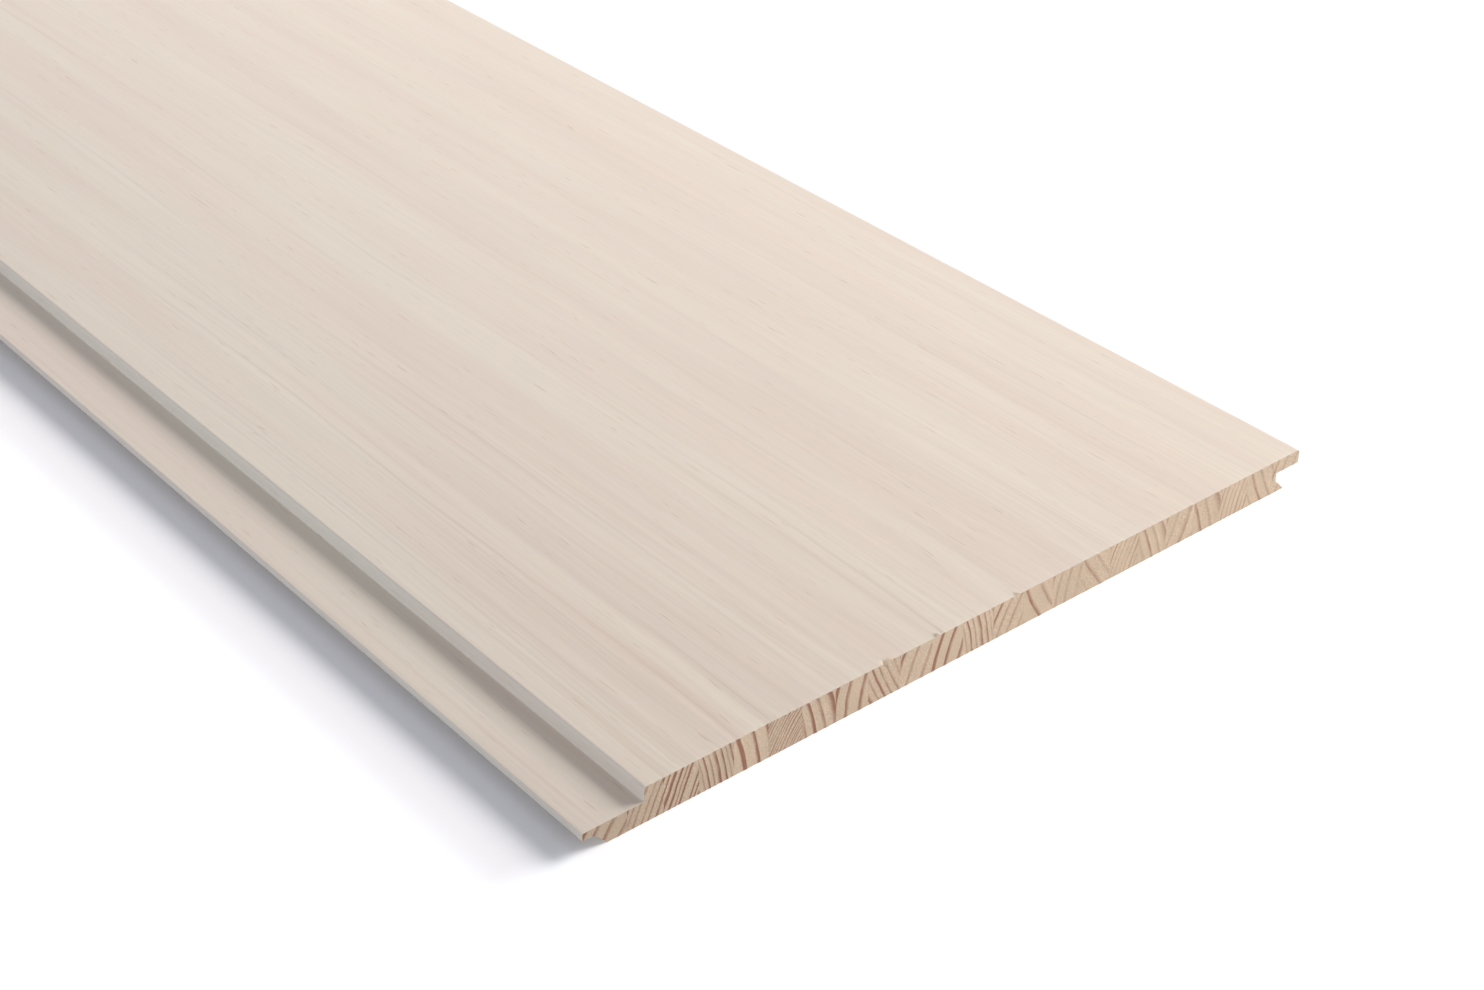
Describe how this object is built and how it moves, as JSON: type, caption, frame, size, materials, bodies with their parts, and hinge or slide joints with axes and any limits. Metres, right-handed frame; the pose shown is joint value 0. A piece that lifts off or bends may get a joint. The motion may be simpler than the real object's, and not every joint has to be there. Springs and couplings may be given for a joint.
{
  "type": "wall panel",
  "caption": "Whitewashed wall panel glued up from narrow pine staves, with a stepped tongue along one long edge and a groove along the other.",
  "frame": {"origin": "middle of the back, the face that goes against the wall", "axes": "+X along the board, +Y across it from the tongue to the groove, +Z from the back to the finished face"},
  "size_m": [2.4, 0.3294, 0.014],
  "materials": {
    "pine": "whitewashed and matt on the face and the tongue, bare on the ends, the back and in the groove"
  },
  "bodies": {
    "root": {"stave_01": "pine", "stave_02": "pine", "stave_03": "pine", "stave_04": "pine", "stave_05": "pine", "stave_06": "pine", "stave_07": "pine", "stave_08": "pine", "stave_09": "pine", "stave_10": "pine", "stave_11": "pine", "stave_12": "pine", "stave_13": "pine", "stave_14": "pine", "stave_15": "pine", "stave_16": "pine", "stave_17": "pine", "stave_18": "pine", "stave_19": "pine", "stave_20": "pine", "stave_21": "pine", "stave_22": "pine", "stave_23": "pine"}
  },
  "joints": []
}
